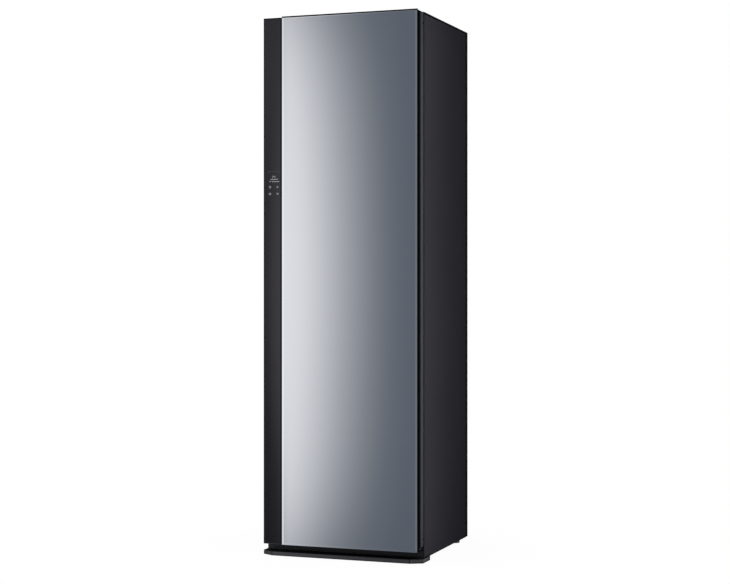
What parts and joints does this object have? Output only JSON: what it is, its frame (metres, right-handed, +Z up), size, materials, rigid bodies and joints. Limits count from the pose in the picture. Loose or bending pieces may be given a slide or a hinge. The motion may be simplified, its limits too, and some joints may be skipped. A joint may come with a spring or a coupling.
{
  "type": "clothes care steam cabinet",
  "caption": "Tall free-standing clothes care steam cabinet with a mirror-faced door, a dark touch strip, a trouser press in the door and a shaking hanger rail.",
  "frame": {"origin": "on the floor, under the middle of the overall width and depth", "axes": "+Z up, +X to the right of the door, +Y from the door to the back"},
  "size_m": [0.616, 0.61, 1.96],
  "materials": {
    "casing_paint": "satin",
    "back_steel": "satin",
    "base_steel": "satin",
    "plinth_plastic": "satin",
    "cap_plastic": "satin",
    "kick_plastic": "matte",
    "foot_plastic": "matte",
    "liner_plastic": "satin",
    "insulation_foam": "matte",
    "grille_plastic": "satin",
    "nozzle_plastic": "satin",
    "lamp_cover": "satin",
    "shelf_plastic": "satin",
    "drive_steel": "satin",
    "rod_chrome": "polished",
    "motor_steel": "satin",
    "pulley_plastic": "satin",
    "belt_rubber": "matte",
    "carriage_metal": "satin",
    "rail_metal": "satin",
    "lower_front_plastic": "satin",
    "bay_plastic": "matte",
    "tank_plastic": "satin",
    "tank_lid_plastic": "satin",
    "filter_plastic": "satin",
    "duct_plastic": "matte",
    "fin_aluminium": "satin",
    "fan_plastic": "satin",
    "compressor_paint": "satin",
    "mount_rubber": "matte",
    "generator_metal": "satin",
    "pump_plastic": "satin",
    "box_plastic": "matte",
    "hose_rubber": "satin",
    "pipe_copper": "satin",
    "gland_plastic": "matte",
    "hinge_steel": "satin",
    "hinge_cover_plastic": "satin",
    "screw_steel": "satin",
    "mirror": "polished",
    "backing_board": "matte",
    "control_glass": "polished",
    "door_sheet": "satin",
    "door_frame": "satin",
    "bush_plastic": "satin",
    "door_liner_plastic": "satin",
    "gasket_rubber": "matte",
    "display_board": "polished",
    "press_pad": "matte",
    "press_metal": "satin",
    "press_plate": "satin"
  },
  "bodies": {
    "cabinet": {"side_panels": "casing_paint", "top_panel": "casing_paint", "back_panel": "back_steel", "base_pan": "base_steel", "toe_kick": "kick_plastic", "front_base_plate": "plinth_plastic", "base_corner_caps": "cap_plastic", "inner_liner": "liner_plastic", "insulation_panels": "insulation_foam", "outlet_grille": "grille_plastic", "steam_nozzle": "nozzle_plastic", "cabin_lamp": "lamp_cover", "drive_frame": "drive_steel", "guide_rods": "rod_chrome", "hanger_motor": "motor_steel", "drive_belt": "belt_rubber", "lower_front_frame": "lower_front_plastic", "tank_bay": "bay_plastic", "duct_housing": "duct_plastic", "heat_exchangers": "fin_aluminium", "fan_motor": "motor_steel", "compressor": "compressor_paint", "compressor_mounts": "mount_rubber", "steam_generator": "generator_metal", "water_and_drain_pumps": "pump_plastic", "control_box": "box_plastic", "water_hoses": "hose_rubber", "refrigerant_pipes": "pipe_copper", "cord_gland": "gland_plastic", "top_hinge_bracket": "hinge_steel", "hinge_cover": "hinge_cover_plastic", "bottom_hinge_bracket": "hinge_steel", "cabinet_screws": "screw_steel"},
    "door": {"mirror_glass": "mirror", "mirror_backing": "backing_board", "control_glass": "control_glass", "door_front_sheet": "door_sheet", "door_frame": "door_frame", "door_bushes": "bush_plastic", "door_inner_liner": "door_liner_plastic", "door_insulation": "insulation_foam", "door_gasket": "gasket_rubber", "display_board": "display_board", "press_board": "press_pad", "press_brackets": "press_metal"},
    "press": {"press_plate": "press_plate"},
    "shelf": {"shelf": "shelf_plastic"},
    "filter": {"lint_filter": "filter_plastic"},
    "water_tank": {"water_tank": "tank_plastic", "water_tank_lid": "tank_lid_plastic"},
    "drain_tank": {"drain_tank": "tank_plastic"},
    "hanger": {"hanger_carriage": "carriage_metal", "hanger_rail": "rail_metal"},
    "crank": {"crank_pulley": "pulley_plastic"},
    "motor": {"motor_pulley": "pulley_plastic"},
    "fan": {"fan_impeller": "fan_plastic"},
    "foot_front_left": {"foot_front_left": "foot_plastic"},
    "foot_front_right": {"foot_front_right": "foot_plastic"},
    "foot_rear_left": {"foot_rear_left": "foot_plastic"},
    "foot_rear_right": {"foot_rear_right": "foot_plastic"}
  },
  "joints": [
    {"name": "door_swing", "type": "hinge", "parent": "cabinet", "child": "door", "pos_m": [0.284, -0.26, 1], "axis": [0, 0, 1], "range_deg": [0, 110]},
    {"name": "press_swing", "type": "hinge", "parent": "door", "child": "press", "pos_m": [0.178, -0.212, 1.04], "axis": [0, 0, -1], "range_deg": [0, 90]},
    {"name": "shelf_lift", "type": "slide", "parent": "cabinet", "child": "shelf", "axis": [0, 0, 1], "range_m": [0, 0.06]},
    {"name": "filter_lift", "type": "slide", "parent": "cabinet", "child": "filter", "axis": [0, 0, 1], "range_m": [0, 0.12]},
    {"name": "water_tank_pull", "type": "slide", "parent": "cabinet", "child": "water_tank", "axis": [0, -1, 0], "range_m": [0, 0.03]},
    {"name": "drain_tank_pull", "type": "slide", "parent": "cabinet", "child": "drain_tank", "axis": [0, -1, 0], "range_m": [0, 0.03]},
    {"name": "hanger_shake", "type": "slide", "parent": "cabinet", "child": "hanger", "axis": [1, 0, 0], "range_m": [-0.012, 0.012]},
    {"name": "crank_spin", "type": "hinge", "parent": "cabinet", "child": "crank", "pos_m": [0, 0.035, 1.875], "axis": [0, 0, 1], "continuous": true},
    {"name": "motor_spin", "type": "hinge", "parent": "cabinet", "child": "motor", "pos_m": [0, 0.19, 1.875], "axis": [0, 0, 1], "continuous": true},
    {"name": "fan_spin", "type": "hinge", "parent": "cabinet", "child": "fan", "pos_m": [0, 0.215, 0.275], "axis": [1, 0, 0], "continuous": true},
    {"name": "foot_front_left_screw", "type": "slide", "parent": "cabinet", "child": "foot_front_left", "axis": [0, 0, -1], "range_m": [0, 0.015]},
    {"name": "foot_front_right_screw", "type": "slide", "parent": "cabinet", "child": "foot_front_right", "axis": [0, 0, -1], "range_m": [0, 0.015]},
    {"name": "foot_rear_left_screw", "type": "slide", "parent": "cabinet", "child": "foot_rear_left", "axis": [0, 0, -1], "range_m": [0, 0.015]},
    {"name": "foot_rear_right_screw", "type": "slide", "parent": "cabinet", "child": "foot_rear_right", "axis": [0, 0, -1], "range_m": [0, 0.015]}
  ],
  "couplings": [
    {"joint": "motor_spin", "follows": "crank_spin", "ratio": 4}
  ]
}
